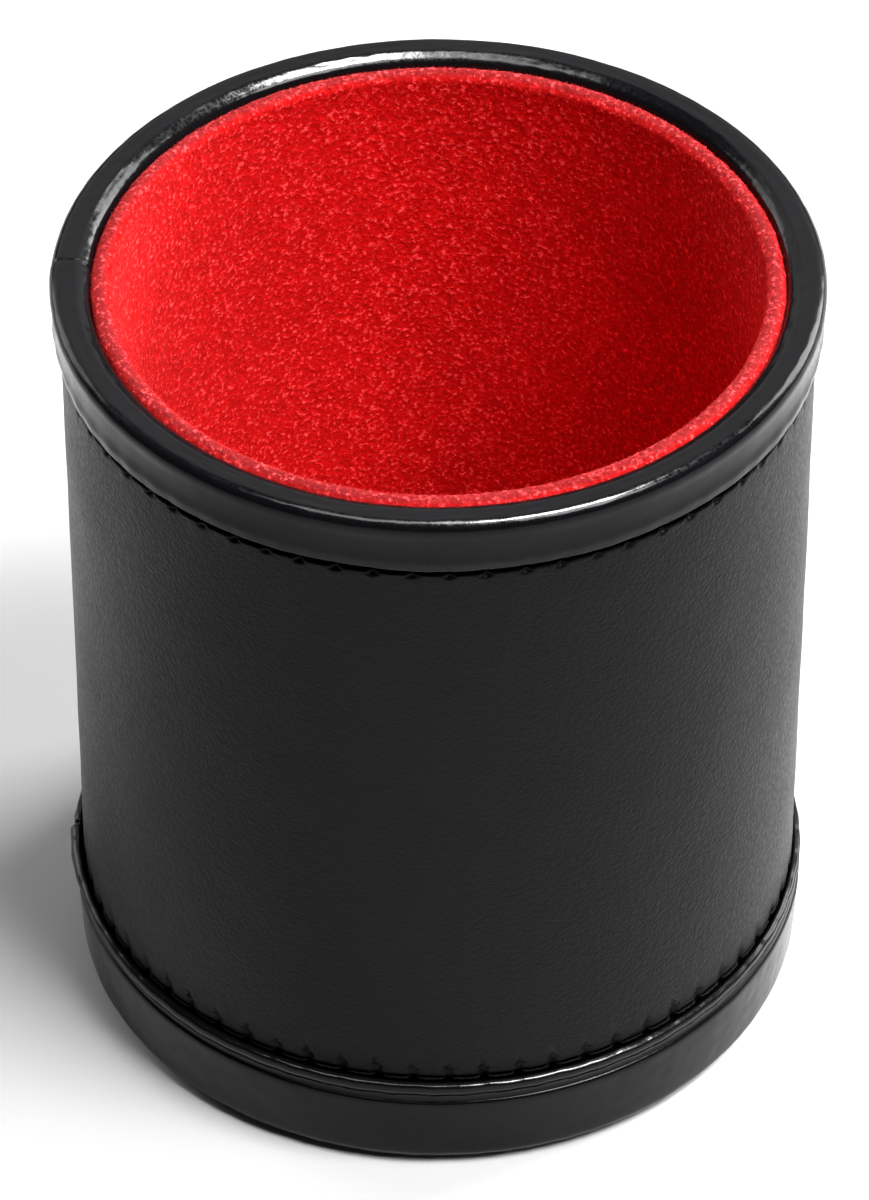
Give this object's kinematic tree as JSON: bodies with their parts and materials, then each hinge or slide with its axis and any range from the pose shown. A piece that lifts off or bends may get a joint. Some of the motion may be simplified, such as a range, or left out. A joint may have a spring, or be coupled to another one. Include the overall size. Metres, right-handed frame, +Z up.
{
  "type": "dice cup",
  "caption": "Straight-sided round dice cup, black leatherette over a paperboard tube, stitched bands at rim and base, red velvet lining with a rolled edge.",
  "frame": {"origin": "centre of the underside, on the surface that the cup stands on", "axes": "+Z up to the mouth, -Y the front, +X to the right seen from the front"},
  "size_m": [0.0834, 0.0834, 0.095],
  "materials": {
    "grained_leather": "matte, fine pebble grain",
    "smooth_leather": "satin, stretched smooth over the folds",
    "thread": "waxed polyester thread",
    "velvet": "short bright red pile",
    "felt": "grey pressed felt",
    "paperboard": "raw brown board"
  },
  "bodies": {
    "root": {"core_tube": "paperboard", "base_cap": "paperboard", "body_wrap": "grained_leather", "side_stitches": "thread", "rim_trim": "smooth_leather", "rim_stitches": "thread", "base_trim": "smooth_leather", "base_stitches": "thread", "base_cover": "grained_leather", "lining_card": "paperboard", "lining_wall": "velvet", "floor_pad": "felt", "floor_card": "paperboard", "lining_floor": "velvet"}
  },
  "joints": []
}
